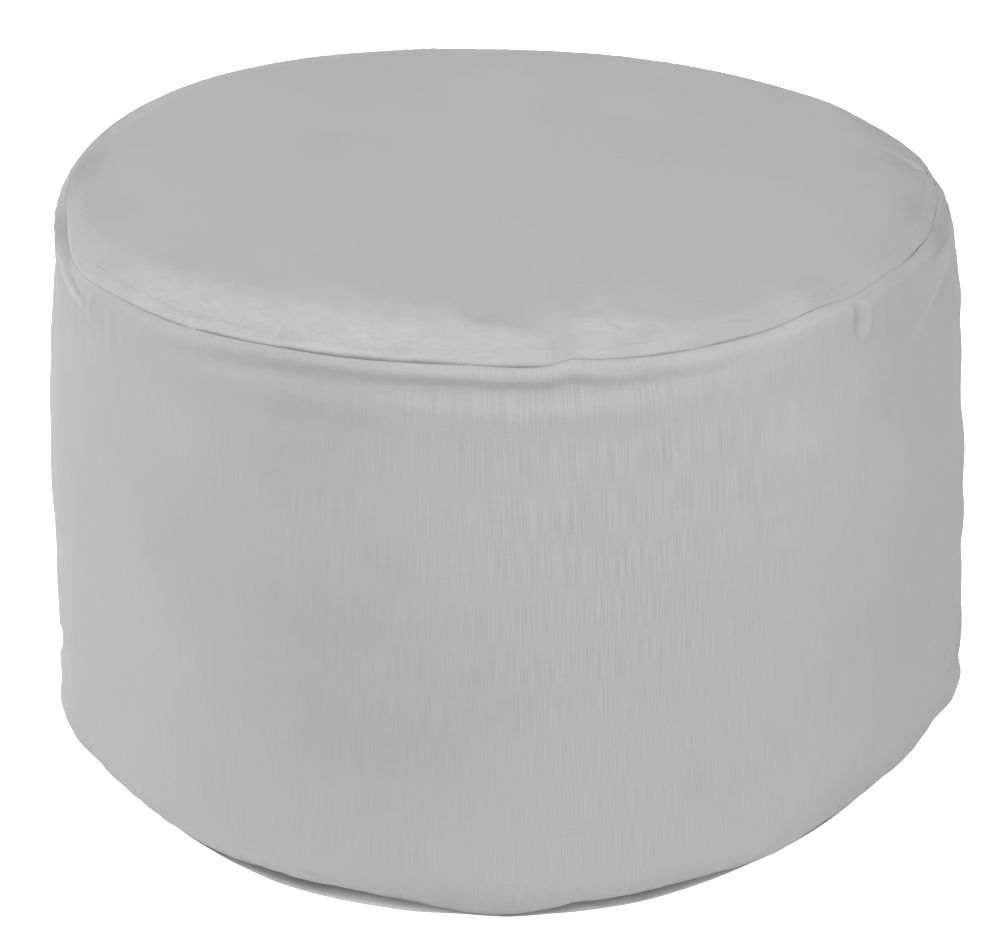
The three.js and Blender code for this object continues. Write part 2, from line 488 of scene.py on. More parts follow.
    def height(self, radius: Array, angle: Array) -> Array:
        """The outer face's height above the floor before pressing.

        It is the seam's height, plus a slope that rises evenly from the seam and bends over into the
        top where its width says, plus what is left of the crown's rise times
        1 - (radius / seam radius)^4, plus the folds.

        Args:
            radius: Distance from the axis, no further than the seam.
            angle: Angle round the bag.

        Returns:
            The height at each.
        """
        radius, angle = np.broadcast_arrays(radius, angle)
        inward = np.maximum(self.form.seam_radius - radius, 0.0)
        rise = round_line(self.slope_angles, self.slope_rises, angle)
        dome = (self.crown_rise - rise) * (1.0 - (radius / self.form.seam_radius) ** self.crown_power)
        width = self.rim_share * sum(
            share * round_line(self.rim_angles, self.rim_widths, angle + aside)
            for aside, share in self.rim_evening
        )
        full = np.log1p(math.exp(self.rim_bend))
        slope = rise * (1.0 - np.log1p(np.exp(self.rim_bend * (1.0 - inward / width))) / full)
        return self.form.seam_height + dome + slope + self.folds(inward, angle)

    def painted_rim_light(self, inward: Array, angle: Array) -> Array:
        """Painted highlight on the rim: full on its slope, gone past its bend, with a cloudy edge.

        Args:
            inward: Distances inwards from the seam.
            angle: Angles round the bag.

        Returns:
            The painted highlight, from 0 to about 1.
        """
        width = round_line(self.rim_angles, self.rim_widths, angle)
        strength = round_line(self.slope_angles, self.painted_lightening, angle)
        cloud = self.cloud_share * self.cloud.at(angle, inward)
        reach = ease(inward / width + cloud, *self.rim_light_ends)
        return np.clip(strength * (1.0 - reach) * (1.0 + 2.0 * cloud), 0.0, self.most_rim_light)

    def fade(self, radius: Array, angle: Array) -> Array:
        """Light and shade painted into the cloth's colour: the painted rim highlight and painted patches."""
        inward = np.maximum(self.form.seam_radius - radius, 0.0)
        return self.painted_rim_light(inward, angle) + patches(self.painted_shades, inward, angle)

    def folds(self, inward: Array, angle: Array) -> Array:
        """Puffs, pinches, the ridge over the seam allowance, its puckers and the filling's slump.

        Args:
            inward: Distances inwards from the seam.
            angle: Angles round the bag.

        Returns:
            What they add to the height.
        """
        total = patches(self.puffs, inward, angle)
        for pinch in self.pinches:
            aside = turn(angle, pinch.angle + pinch.lean * inward)
            total -= pinch.depth * bell(aside, pinch.spread) * (1.0 - ease(inward, 0.0, pinch.length))
        dips = stretches(self.allowance_dips, angle)
        beyond = inward - (self.allowance + dips + self.allowance_wobble * self.wobble.at(angle, 0.0))
        step = self.allowance_step
        # The painted rim highlight's shares also set how strongly the allowance ridge and puckers stand.
        worked = np.clip(self.least_worked + round_line(self.slope_angles, self.painted_lightening, angle), 0.0, 1.0)
        ridge = self.allowance_rise * (1.0 - ease(beyond, -step, step))
        ridge *= ease(inward, 0.0, self.allowance_start)
        groove = self.allowance_groove * bell(beyond - self.groove_beyond, step)
        near, reach = self.pucker_place
        puckered = self.pucker_rise * self.puckers.at(angle, inward) * bell(inward - near, reach) * worked
        near, reach = self.crinkle_place
        crinkled = self.crinkle_rise * self.crinkles.at(angle, inward) * bell(inward - near, reach)
        # Crinkles are as strong as the painted rim highlight.
        crinkled *= self.painted_rim_light(inward, angle)
        slump = self.slump_rise * self.slump.at(angle, inward) * ease(inward, *self.slump_edge)
        slump *= ease(self.form.seam_radius - inward, *self.slump_middle)
        return total + (ridge - groove) * worked + (puckered + crinkled) + slump


@dataclass(frozen=True)
class BandShape:
    """The side band's own folds, as how far each pushes the cloth outwards."""

    form: BagForm = BagForm()
    join_angle: float = 96.0
    join_start: float = 8.0
    # The join's ridges and its crease: millimetres aside, width and rise.
    join_ridges: tuple[Row, ...] = ((5.0, 3.6, 0.5), (-4.0, 4.0, 0.25), (0.0, 0.9, -1.5))
    trough_depth: float = 4.2
    trough_below: float = 12.5
    trough_width: float = 5.0
    swell_rise: float = 1.8
    swell_below: float = 25.0
    swell_width: float = 8.0
    # The gathers: full from just below the seam, and again about a height at the foot.
    gather_push: float = 0.22
    gather_start: float = 6.0
    gather_drop: float = 26.0
    foot_height: float = 8.0
    gather_climb: float = 22.0
    slub_angle: float = -79.0
    slub_spread: float = 22.0
    slub_least: float = 0.34
    slub_more: float = 1.0
    slub_low_share: float = 0.42
    slub_heights: Row = (95.0, 215.0)
    slump_push: float = 0.5
    slump_ends: Row = (10.0, 90.0)
    # How strongly the trough under the top seam is drawn in, at angles round the bag.
    trough_angles: Row = (
        -178, -168, -158, -150, -138, -130, -122, -112, -98, -84, -76, -68, -58, -40, -20, 5, 30, 60, 85,
        110, 140, 160,
    )
    trough_shares: Row = (
        0.5, 0.4, 0.2, 0.0, 0.0, 0.12, 0.42, 0.82, 1.0, 0.98, 0.72, 0.3, 0.1, 0.1, 0.3, 0.5, 0.25, 0.8,
        0.5, 0.9, 0.3, 0.6,
    )
    # Where the trough runs lower than elsewhere.
    trough_dips: tuple[Stretch, ...] = (Stretch(-79, 5.0, 2.4),)
    # Painted light on the strip between the seam and the trough, or painted shade below 0, at angles
    # round the bag, and where it is.
    strip_angles: Row = (-165, -140, -128, -118, -90, -70, -60, -40, 0, 60, 120, 165)
    strip_shares: Row = (-0.3, -0.6, -0.4, 0.3, 0.55, 0.6, 0.4, 0.1, 0.0, 0.5, 0.4, 0.0)
    strip_below: float = 3.5
    strip_width: float = 5.0
    # Patches of painted light, and of painted shade below 0, on the band's colour.
    painted_shades: tuple[Patch, ...] = rows(
        Patch,
        (-171, 341, 7, 6, -2.4), (-167, 345.5, 4, 3, -1.6), (-154, 346, 7, 1.5, 1.2),
        (-148, 334, 5, 10, -0.4), (-117, 342, 8, 4, -1.5), (-93, 321, 14, 6, 0.5), (-21, 342, 7, 9, -2),
        (-21, 285, 7, 25, -0.4), (-45, 333, 4, 12, -0.4), (-54, 290, 8, 40, 0.35),
        (-67, 80, 9, 30, -0.35), (-166, 190, 7, 140, 1.2), (-107, 340.5, 4, 3, -0.9),
        (-88.5, 341, 3, 3, -0.8), (-83.5, 338, 3, 3.5, -0.8), (-74, 341, 6, 3, -0.6),
        (-42, 280, 5, 25, -0.35), (-37, 342, 5, 5, -0.7), (-11, 342, 4, 4, -1), (-110, 327, 10, 6, -0.8),
        (-108, 335.5, 7, 2.5, 0.6), (-101, 5, 3, 5, -2.3), (-98, 314, 8, 6, 0.5),
        (-114, 285, 9, 22, -0.45), (-104, 160, 8, 25, 0.45), (-128, 130, 8, 50, 0.35),
        (-59, 140, 5, 30, 0.4), (-4, 90, 7, 70, 1), (-80, 18, 5, 10, 0.8), (-165, 38, 6, 10, 0.8),
        (-120, 26, 16, 16, 0.9), (-62, 25, 8, 14, 0.8), (-48, 38, 5, 14, -0.4), (-101, 296, 6, 25, 0.3),
        (-95, 150, 18, 60, -0.35), (-37, 318, 7, 12, -0.3), (-27, 268, 9, 26, -0.2),
        (-109, 225, 14, 70, -0.35), (-109, 70, 12, 34, -0.35), (-62, 230, 13, 110, 0.35),
        (-141, 290, 8, 40, -0.35), (-141, 160, 8, 50, 0.35), (-19, 110, 8, 70, 0.35),
        (-90, 14, 55, 26, 0.7),
    )
    # Painted highlights and painted shadows along the sharpest folds, with the painted shade in place of the
    # push.
    lines: tuple[DragFold, ...] = rows(
        DragFold,
        (-168, 344.5, -149, 330, 1.6, 1.6), (-166, 348.5, -150, 334, 2, -1.4),
        (-45.7, 344, -45.8, 326, 2, -1.2), (-43.9, 342, -44.2, 323, 2.8, 0.8),
        (-14, 336, -27, 316, 3.8, 0.5), (-25, 317, -35, 302, 3.8, 0.5),
    )
    folds: tuple[DragFold, ...] = rows(
        DragFold,
        (-168, 344, -150, 328.5, 2, 1.3), (-166, 349, -151, 335.5, 2.4, -1.5),
        (-158, 342, -146, 318, 5, -0.8), (-168, 222, -148, 238, 6, 0.8), (-168, 192, -149, 212, 6, 0.7),
        (-170, 156, -149, 174, 7, 0.7), (-45.7, 346, -45.8, 324, 2.6, -2.1),
        (-43.8, 345, -44.1, 320, 2.8, 1.9), (-12, 341, 12, 341, 7, -2.4), (-6, 318, -6, 268, 40, 2.6),
        (-4, 290, -4, 225, 60, 1.6), (-6, 197, -6, 103, 60, 4.2), (0, 138, 0, 60, 60, 3),
        (-14, 36, -24, 26, 12, 4.9), (-34, 18, -56, 10, 12, -3.8), (-176, 200, -176, 58, 60, 5.2),
        (-172, 338, -172, 305, 30, -2.2), (-176, 262, -176, 236, 40, -1), (-172, 58, -170, 44, 30, -2.2),
        (-165, 36, -150.8, 25, 13, 4.8), (-146.5, 21, -122, 8, 13, -3.3), (-107, 9, -98, 3, 3.5, 2),
        (-12, 338, -27, 316, 4.2, 1.6), (-24, 318, -36, 300, 4.2, 1.3), (-16, 322, -38, 297, 5, -0.8),
        (-13, 196, -34, 199, 7, 0.7), (-8, 62, -29, 52, 4.5, 1.2), (-8, 50, -25, 40, 8, -2.6),
        (16, 345, 27, 306, 5, 1.2), (52, 344, 44, 312, 4, -1.2), (88, 345, 80, 300, 5, 1.1),
        (112, 344, 122, 304, 5, 1.3), (146, 344, 139, 316, 4, -1.2), (20, 70, 32, 30, 6, -1.4),
        (70, 26, 84, 60, 6, 1.2), (138, 60, 126, 24, 6, -1.4), (176, 64, 164, 28, 7, 1.2),
    )
    gathers: Ripples = Ripples(seed=21, turns=(45, 130), across=(0.0, 0.006), count=30)
    slump: Ripples = Ripples(seed=22, turns=(1, 9), across=(0.001, 0.008), count=20)

    def push(self, height: Array, angle: Array) -> Array:
        """How far the cloth stands out from the plain profile.

        The trough and the swell below it are bells down from the seam, in proportion to how drawn in
        the trough is. Drag folds, gathers, the filling's slump and the back join are added to them.

        Args:
            height: Heights up the band.
            angle: Angles round the bag.

        Returns:
            The push at each.
        """
        height, angle = np.broadcast_arrays(height, angle)
        below = self.form.seam_height - height
        beneath = below - stretches(self.trough_dips, angle)
        total = round_line(self.trough_angles, self.trough_shares, angle) * (
            self.swell_rise * bell(beneath - self.swell_below, self.swell_width)
            - self.trough_depth * bell(beneath - self.trough_below, self.trough_width)
        )
        for fold in self.folds:
            total += fold.at(angle, height, self.form.seam_radius)
        near_seam = bell(below, self.gather_drop) * ease(below, 0.0, self.gather_start)
        near_foot = bell(height - self.foot_height, self.gather_climb)
        total += self.gather_push * self.gathers.at(angle, height) * (near_seam + near_foot)
        slump = self.slump_push * self.slump.at(angle, height)
        total += slump * ease(below, *self.slump_ends) * ease(height, *self.slump_ends)
        aside = turn(angle, self.join_angle) * math.radians(self.form.seam_radius)
        join = sum(rise * bell(aside - at, width) for at, width, rise in self.join_ridges)
        return total + join * ease(below, 0.0, self.join_start)

    def fade(self, height: Array, angle: Array) -> Array:
        """Light and shade painted into the cloth's colour: on the strip under the seam, in patches and
        lines.

        Args:
            height: Heights up the band.
            angle: Angles round the bag.

        Returns:
            The painted light, below 0 where shade is painted.
        """
        below = self.form.seam_height - height
        strip = round_line(self.strip_angles, self.strip_shares, angle)
        strip = strip * bell(below - self.strip_below, self.strip_width)
        lines = sum(line.at(angle, height, self.form.seam_radius) for line in self.lines)
        return strip + patches(self.painted_shades, height, angle) + lines

    def slub(self, height: Array, angle: Array) -> Array:
        """How strongly the uneven threads stand out: most in a broad bell at the front, high up."""
        high = self.slub_low_share + (1.0 - self.slub_low_share) * ease(height, *self.slub_heights)
        return self.slub_least + self.slub_more * bell(turn(angle, self.slub_angle), self.slub_spread) * high


# --- Meshes ---


def put(name: str, data: bpy.types.ID) -> bpy.types.Object:
    """Makes an object of a mesh, light or camera and links it to the scene.

    Args:
        name: The object's name.
        data: What it shows.

    Returns:
        The new object.
    """
    made = bpy.data.objects.new(name, data)
    bpy.context.scene.collection.objects.link(made)
    return made


def turned_mesh(
    name: str, places: Array, cloth: Array, looks: dict[str, Array], origin: Array
) -> bpy.types.Object:
    """Makes a closed mesh from rings of places that run from one pole to the other.

    Each quad joins two neighbouring places of a ring to the same two of the next ring, and a fan
    closes each pole.

    Args:
        name: The object's name.
        places: Rings by columns by x, y and z, in millimetres about the axis. The first and last
            rings are the poles, where every column is the same place.
        cloth: Rings by columns and one more by u and v: each place on the flat cloth, in metres.
        looks: Rings by columns for each look: the light and shade painted into the cloth's colour, from
            0 to about 1 or below 0 where shade is painted, and "slub" how uneven its threads are.
        origin: The foot of the bag's axis, in metres.

    Returns:
        The new object, linked to the scene.
    """
    rings, columns = places.shape[:2]
    ringed = places[1:-1].reshape(-1, 3)
    points = np.vstack([ringed, places[0, :1], places[-1, :1]]) * MM + origin
    here = np.arange(columns)
    beside = (here + 1) % columns
    row = np.arange(rings - 3)[:, None] * columns
    quads = np.stack([row + here, row + beside, row + columns + beside, row + columns + here], axis=-1)
    last = (rings - 3) * columns
    start = np.stack([np.full(columns, len(ringed)), beside, here], axis=-1)
    end = np.stack([last + here, last + beside, np.full(columns, len(ringed) + 1)], axis=-1)
    faces = quads.reshape(-1, 4).tolist() + start.tolist() + end.tolist()
    inner = cloth[1:-1]
    quad_cloth = np.stack([inner[:-1, :-1], inner[:-1, 1:], inner[1:, 1:], inner[1:, :-1]], axis=2)
    start_cloth = np.stack([cloth[0, :-1], cloth[1, 1:], cloth[1, :-1]], axis=1)
    end_cloth = np.stack([cloth[-2, :-1], cloth[-2, 1:], cloth[-1, :-1]], axis=1)
    corners = np.concatenate([part.reshape(-1, 2) for part in (quad_cloth, start_cloth, end_cloth)])

    mesh = bpy.data.meshes.new(name)
    mesh.from_pydata(points.tolist(), [], faces)
    layer = mesh.uv_layers.new(name="cloth")
    layer.data.foreach_set("uv", corners.astype(np.float32).ravel())
    for look, value in looks.items():
        stored = mesh.attributes.new(look, "FLOAT", "POINT")
        values = np.r_[value[1:-1].ravel(), value[0, 0], value[-1, 0]]
        stored.data.foreach_set("value", values.astype(np.float32))
    mesh.polygons.foreach_set("use_smooth", np.ones(len(mesh.polygons), dtype=bool))
    mesh.update()
    return put(name, mesh)


@dataclass(frozen=True)
class Columns:
    """The columns of every ring: close together at the back join and along the front."""

    start: float = 96.0
    turned: Row = (0.0, 1.0, 2.0, 5.0, 78.0, 88.0, 232.0, 245.0, 355.0, 358.0, 359.0, 360.0)
    steps: Row = (0.13, 0.13, 0.35, 0.62, 0.62, 0.44, 0.44, 0.62, 0.62, 0.35, 0.13, 0.13)

    def angles(self) -> Array:
        """The columns' angles, in degrees, from the join right round to the join again."""
        return self.start + spaced(360.0, self.turned, self.steps)


@dataclass(frozen=True)
class SeamCrease:
    """How far the top seam's crease gapes, in millimetres, and how softly both cloths roll into it.

    Below 0 the two cloths are pressed together.
    """

    roll: float = 1.1
    angles: Row = (
        -176, -162, -150, -143, -136, -130, -126, -118, -114, -107, -100, -93, -88, -83, -78, -72, -68.5,
        -65, -60, -55, -50, -45, -39, -34, -31, -27, -24, -20, -14, -9, -2, 6, 40, 60, 80, 100, 120, 140,
        160,
    )
    widths: Row = (
        -0.4, -0.4, -0.2, 0.0, 0.15, 0.35, 0.9, 0.5, 1.2, 1.4, 1.3, 0.3, 0.8, 0.0, 0.0, 0.5, 0.0, 0.5,
        0.2, -0.1, -0.2, -0.5, -0.6, -0.6, 0.25, 0.25, -0.4, -0.4, -0.3, -0.3, -0.2, 0.0, 0.4, 0.2, 0.5,
        0.3, 0.6, 0.3, 0.3,
    )
    # How far both cloths roll down into it, at other angles.
    roll_angles: Row = (
        -178, -156, -148, -141, -132, -118, -108, -98, -92, -88, -83, -78, -73, -60, -51, -41, -37, -34,
        -32, -30, -28.5, -27, -25, -23, -19, -17, -3, 2, 12, 160,
    )
    rolls: Row = (
        0.05, 0.05, 0.2, 0.5, 0.6, 0.6, 1.4, 1.4, 0.6, 0.7, 0.4, 0.4, 0.6, 0.55, 0.25, 0.1, 0.05, 0.05,
        0.75, 0.75, 0.1, 0.75, 0.75, 0.1, 0.2, 0.7, 0.7, 0.4, 0.4, 0.5,
    )

    def width(self, angle: Array) -> Array:
        """How wide the crease gapes at each angle, in millimetres."""
        return round_line(self.angles, self.widths, angle)

    def rolled(self, angle: Array) -> Array:
        """How far down the cloths roll at each angle, in millimetres."""
        return round_line(self.roll_angles, self.rolls, angle)

    def drop(self, beside: Array, angle: Array) -> Array:
        """How far a cloth rolls down beside the crease: rolled times e to the power of -distance / roll."""
        return self.rolled(angle) * np.exp(-np.maximum(beside, 0.0) / self.roll)


@dataclass(frozen=True)
class FilledBody:
    """The filled body, whose outside is the side band: one closed, padded piece."""

    form: BagForm = BagForm()
    top: TopShape = TopShape()
    band: BandShape = BandShape()
    crease: SeamCrease = SeamCrease()
    columns: Columns = Columns()
    heights: Row = (
        2.6, 6, 14, 30, 57, 103, 154, 206, 252, 288, 312, 322, 331, 336.5, 340.8, 344, 345.7,
    )
    radii: Row = (
        285, 289, 296.5, 304.5, 303.5, 297, 294, 293.5, 289.5, 284.5, 281.5, 280.8, 280.2, 279.6, 278.4,
        275.8, 272.3,
    )
    under_radii: Row = (0, 120, 200, 245, 262, 274, 282)
    groove: tuple[Row, ...] = ((272.0, 344.9), (271.8, 343.4), (271.7, 341.4), (271.4, 339.0))
    seat_radii: Row = (268, 263, 250, 220, 150, 70, 0)
    seat_edge: float = 339.0
    seat_below: float = 3.6
    # How much further the underside rises under an arch than the arch itself, to clear the lip.
    hollow_share: float = 0.3
    hollow_width: float = 10.0
    # How many seam gaps there are between the underside and the base panel.
    under_gaps: float = 3.0
    # The share of the folds left at the seam, and how far below it they are free.
    held_share: float = 0.25
    held_below: float = 6.0
    # The heights between which the roll into the seam begins.
    roll_heights: Row = (300.0, 340.0)
    # Distances along the profile from its foot and from its top, and the rings' spacing at each.
    foot_places: Row = (0.0, 50.0, 90.0)
    top_places: Row = (-55.0, -30.0, 0.0)
    ring_steps: Row = (1.8, 2.8, 4.6, 4.2, 1.5, 1.1)

    def profile(self) -> tuple[Array, Array]:
        """The band's rings, along a spline through its named radii and heights.

        Returns:
            The rings' radii, and their heights.
        """
        radii, heights = np.array(self.radii), np.array(self.heights)
        chord = np.concatenate([[0.0], np.cumsum(np.hypot(np.diff(radii), np.diff(heights)))])
        length = chord[-1]
        places = [*self.foot_places, *(length + place for place in self.top_places)]
        at = spaced(length, places, self.ring_steps)
        return spline(chord, radii, at), spline(chord, heights, at)

    def rings(self, angle: Array) -> Array:
        """Places from the pole of the underside to the pole of the seat.

        Args:
            angle: The columns' angles.

        Returns:
            Rings by columns by x, y and z.
        """
        form = self.form
        radius, height = (line[:, None] for line in self.profile())
        beside = np.maximum(radius - form.seam_radius, 0.0)
        free = 1.0 - ease(height, form.seam_height - self.held_below, form.seam_height)
        pushed = radius + self.band.push(height, angle) * (self.held_share + (1.0 - self.held_share) * free)
        rolled = height - self.crease.drop(beside, angle) * ease(height, *self.roll_heights)
        band = form.press(pushed, rolled, angle)

        under = np.array(self.under_radii)[:, None]
        hollow = self.hollow_share * bell(under - form.seam_radius, self.hollow_width)
        lifted = form.cloth + self.under_gaps * form.gap + hollow * stretches(form.edge_arches, angle)
        below = form.press(under, lifted, angle)
        groove = np.array(self.groove)[:, :, None]
        inside = form.press(groove[:, 0], groove[:, 1] - self.crease.rolled(angle), angle)
        seat = np.array(self.seat_radii)[:, None]
        laid = np.minimum(self.top.height(seat, angle) - self.seat_below, self.seat_edge + seat[0] - seat)
        return np.concatenate([below, band, inside, form.press(seat, laid, angle)])

    def build(self, origin: Array) -> bpy.types.Object:
        """Makes the piece's mesh, with its cloth laid out round and up the bag.

        Args:
            origin: The foot of the bag's axis, in metres.

        Returns:
            The new piece.
        """
        angle = self.columns.angles()
        places = self.rings(angle[:-1])
        up = np.linalg.norm(np.diff(places, axis=0), axis=-1).mean(axis=1)
        along = np.concatenate([[0.0], np.cumsum(up)]) * MM
        around = np.radians(angle - angle[0]) * self.form.seam_radius * MM
        cloth = np.stack(np.broadcast_arrays(around[None, :], along[:, None]), axis=-1)
        heights = self.profile()[1][:, None]
        band = slice(len(self.under_radii), len(self.under_radii) + len(heights))
        # Light and shade are painted into the band's colour only; the underside and seat get none.
        looks = {"fade": np.zeros(places.shape[:2]), "slub": np.full(places.shape[:2], self.band.slub_least)}
        looks["fade"][band] = self.band.fade(heights, angle[:-1])
        looks["slub"][band] = self.band.slub(heights, angle[:-1])
        return turned_mesh("filled_bag", places, cloth, looks, origin)


@dataclass(frozen=True)
class TopPanel:
    """The round panel sewn into the top seam: one thickness of cloth over the crown."""

    form: BagForm = BagForm()
    shape: TopShape = TopShape()
    crease: SeamCrease = SeamCrease()
    columns: Columns = Columns()
    # The turned-in edge, from the underside to the face: inwards from its outmost line, and below it.
    turned_in: tuple[Row, ...] = (
        (3.9, 3.9), (3.1, 3.6), (2.5, 2.9), (1.6, 2.3), (0.6, 1.7), (0.15, 1.1), (0.0, 0.6),
    )
    under_inward: Row = (5.0, 9.0, 16.0, 30.0, 60.0, 120.0, 200.0, 272.0)
    # How far in from the edge the crease's gape is felt.
    gape_reach: float = 6.0
    # Distances inwards from the edge, and the rings' spacing at each and at the pole.
    ring_places: Row = (0.0, 3.5, 5.0, 9.0, 12.0, 24.0, 65.0)
    ring_steps: Row = (0.6, 0.9, 0.5, 0.5, 1.1, 1.5, 3.8, 9.5)

    def rings(self, angle: Array) -> Array:
        """Places from the pole of the underside, round the turned-in edge, to the pole on top."""
        return self.form.press(*self.section(angle), angle)

    def section(self, angle: Array) -> tuple[Array, Array]:
        """The panel's cross-section before pressing, from the pole underneath to the pole on top.

        Args:
            angle: The columns' angles.

        Returns:
            Radii and heights, each rings by columns.
        """
        reach = self.form.seam_radius
        gap = self.crease.width(angle)[None, :]
        under = reach - np.array(self.under_inward[::-1])[:, None] + np.zeros(gap.shape)
        turned = np.array(self.turned_in)[:, :, None]
        inward = spaced(reach, (*self.ring_places, reach), self.ring_steps)[:, None]
        outer = np.where(inward >= reach, 0.0, reach - inward - gap * np.exp(-inward / self.gape_reach))
        lip = self.form.seam_height - self.crease.rolled(angle)
        radii = np.concatenate([under, reach - gap - turned[:, 0], outer])
        heights = np.concatenate([
            self.shape.height(under, angle) - self.form.cloth,
            lip - turned[:, 1],
            self.shape.height(outer, angle) - self.crease.drop(inward, angle),
        ])
        return radii, heights

    def build(self, origin: Array) -> bpy.types.Object:
        """Makes the piece's mesh, with its cloth laid out flat across the bag.

        Args:
            origin: The foot of the bag's axis, in metres.

        Returns:
            The new piece.
        """
        angle = self.columns.angles()[:-1]
        places = self.rings(angle)
        # The light and shade painted into the top panel's colour.
        fade = self.shape.fade(self.section(angle)[0], angle)
        return flat_panel("top_cloth", places, fade, origin)


@dataclass(frozen=True)
class BasePanel:
    """The round panel in the bottom seam: flat on the floor, with a lip that curls up to the seam."""

    form: BagForm = BagForm()
    columns: Columns = Columns()
    flat_radii: Row = (0, 120, 200, 245, 262, 270)
    lip_from: float = 275.5
    lip_reach: float = 8.6
    lip_rise: float = 2.1
    lip_bulge: float = 0.8
    lip_tuck: float = 1.1
    # Where the lip reaches further out, or less far.
    lip_spreads: tuple[Stretch, ...] = rows(
        Stretch,
        (-126, 3, 1.2), (-105, 8, -5), (-90, 5, 2), (-76, 5, 2),
    )
    # Painted light and painted shade on the lip, over its crease under the arches.
    painted_shades: tuple[Stretch, ...] = rows(
        Stretch,
        (-117, 4, -0.8), (-108, 5, 2.5), (-98.5, 4.5, 2.4), (-72, 6, -1.5),
    )
    lip_steps: int = 15
    # Painted light on the lip's low part, as the floor's bounce would light it, and where up the lip that
    # fades out.
    painted_lip_light: float = 8.0
    lip_light_ends: Row = (0.4, 0.8)

    def rings(self, angle: Array) -> Array:
        """Places from the pole of the underside, round the lip, to the pole of the upper face.

        Args:
            angle: The columns' angles.

        Returns:
            Rings by columns by x, y and z.
        """
        cloth = self.form.cloth
        flat = np.array(self.flat_radii)[:, None]
        under = self.form.press(flat, 0.0, angle, lifted=False)
        over = self.form.press(flat[::-1], cloth, angle, lifted=False)
        return np.concatenate([under, self.lip(angle, 0.0), self.lip(angle, cloth)[::-1], over])

    def lip(self, angle: Array, inside: float) -> Array:
        """Places of the lip's outer face, or of its inner face, a thickness further in and up.

        With t from 0 at the floor to 1 at the seam and a the arch's rise there, the radius is
        lip_from + lip_reach sin(90 t) + a (lip_bulge sin(180 t) - lip_tuck t^3), and the height is
        (lip_rise + a)(1 - cos(90 t)), in degrees.

        Args:
            angle: The columns' angles.
            inside: 0 for the outer face, or the cloth's thickness for the inner face.

        Returns:
            Rings by columns by x, y and z.
        """
        t = np.linspace(0.0, 1.0, self.lip_steps)[:, None]
        quarter = t * math.pi / 2.0
        arch = self.form.upward(self.form.base_radius, 0.0, angle)
        curl = arch * (self.lip_bulge * np.sin(math.pi * t) - self.lip_tuck * t**3)
        reach = self.lip_reach + stretches(self.lip_spreads, angle)
        radius = self.lip_from + reach * np.sin(quarter) + curl
        height = (self.lip_rise + np.maximum(arch, 0.0)) * (1.0 - np.cos(quarter))
        radius, height = radius - inside * np.sin(quarter), height + inside * np.cos(quarter)
        return self.form.press(radius, height, angle, lifted=False)

    def build(self, origin: Array) -> bpy.types.Object:
        """Makes the piece's mesh, with its cloth laid out flat across the bag.

        Args:
            origin: The foot of the bag's axis, in metres.

        Returns:
            The new piece.
        """
        angle = self.columns.angles()[:-1]
        places = self.rings(angle)
        # Painted light and shade round the lip, and painted light low on it.
        fade = np.zeros(places.shape[:2]) + stretches(self.painted_shades, angle)
        up = np.linspace(0.0, 1.0, self.lip_steps)[:, None]
        lip = slice(len(self.flat_radii), len(self.flat_radii) + self.lip_steps)
        fade[lip] += self.painted_lip_light * (1.0 - ease(up, *self.lip_light_ends))
        return flat_panel("base_cloth", places, fade, origin)


def flat_panel(name: str, places: Array, fade: Array, origin: Array) -> bpy.types.Object:
    """Makes a round panel's mesh. Its cloth's u and v are each place's own x and y, in metres.

    Args:
        name: The object's name.
        places: Rings by columns by x, y and z.
        fade: The light and shade painted into the cloth's colour, rings by columns.
        origin: The foot of the bag's axis, in metres.

    Returns:
        The new object.
    """
    cloth = np.concatenate([places, places[:, :1]], axis=1)[:, :, :2] * MM
    return turned_mesh(name, places, cloth, {"fade": fade, "slub": np.ones(fade.shape)}, origin)


# --- Cloth finishes ---


class Threads(Enum):
    """Which threads of the weave stand out: those up the cloth's v, or those across along its u."""

    UPRIGHT = "upright"
    ACROSS = "across"


class Nodes:
    """A new node material, and a short way to add nodes to it."""

    def __init__(self, name: str) -> None:
        """Makes the material and finds its shader.

        Args:
            name: The material's name.
        """
        self.material = bpy.data.materials.new(name)
        self.material.use_nodes = True
        self.tree = self.material.node_tree
        self.shader = self.tree.nodes["Principled BSDF"]

    def add(self, kind: str, inputs: Inputs | None = None, **settings: str | bool) -> bpy.types.Node:
        """Adds a node.

        Args:
            kind: Its type, without the ShaderNode at the front.
            inputs: What goes into it.
            **settings: Its own settings.

        Returns:
            The new node.
        """
        node = self.tree.nodes.new("ShaderNode" + kind)
        for setting, value in settings.items():
            setattr(node, setting, value)
        self.feed(node, inputs or {})
        return node

    def feed(self, node: bpy.types.Node, inputs: Inputs) -> None:
        """Links each input that is given a socket, and sets each that is given a value.

        Args:
            node: The node whose inputs they are.
            inputs: Sockets and values by the input's name or number.
        """
        for key, value in inputs.items():
            if isinstance(value, Socket):
                self.tree.links.new(value, node.inputs[key])
            else:
                node.inputs[key].default_value = value

    def math(self, operation: str, *values: Number, clamp: bool = False) -> Socket:
        """Adds a Math node over the values and gives its result."""
        return self.add("Math", dict(enumerate(values)), operation=operation, use_clamp=clamp).outputs[0]


